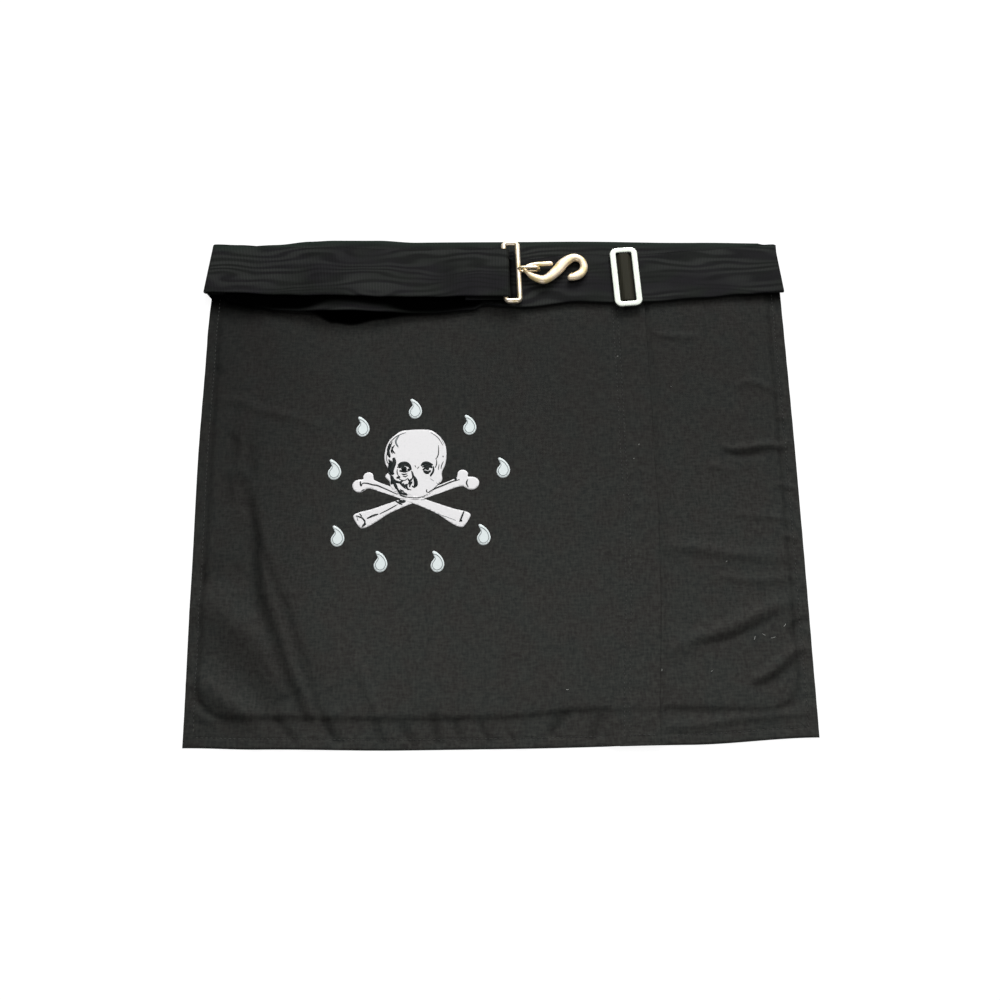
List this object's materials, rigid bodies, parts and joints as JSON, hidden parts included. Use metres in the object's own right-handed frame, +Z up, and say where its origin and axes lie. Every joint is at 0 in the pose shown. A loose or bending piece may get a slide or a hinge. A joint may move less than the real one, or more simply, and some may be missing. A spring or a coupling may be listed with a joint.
{
  "type": "lodge apron",
  "caption": "Black cloth lodge apron lying flat, with a moire webbing belt, gold snake hook, silver slider and a printed skull, crossbones and nine tears.",
  "frame": {"origin": "middle of the panel's flat underside, on the table", "axes": "+X across the apron towards the pocket, +Y up the apron towards the belt, +Z up from the table"},
  "size_m": [0.4089, 0.3588, 0.014],
  "materials": {
    "black_cloth": "matt woven cotton",
    "black_webbing": "ribbed moire, slight sheen",
    "polished_gold": "polished plating",
    "satin_silver": "satin plating",
    "white_print": "matt printed ink"
  },
  "bodies": {
    "root": {"apron_panel": "black_cloth", "pocket_panel": "black_cloth", "waistband": "black_webbing", "belt_right": "black_webbing", "belt_left": "black_webbing", "buckle_loop": "polished_gold", "s_hook": "polished_gold", "belt_slider": "satin_silver", "skull_print": "white_print", "crossbones_print": "white_print", "tear_print_1": "white_print", "tear_print_2": "white_print", "tear_print_3": "white_print", "tear_print_4": "white_print", "tear_print_5": "white_print", "tear_print_6": "white_print", "tear_print_7": "white_print", "tear_print_8": "white_print", "tear_print_9": "white_print"}
  },
  "joints": []
}
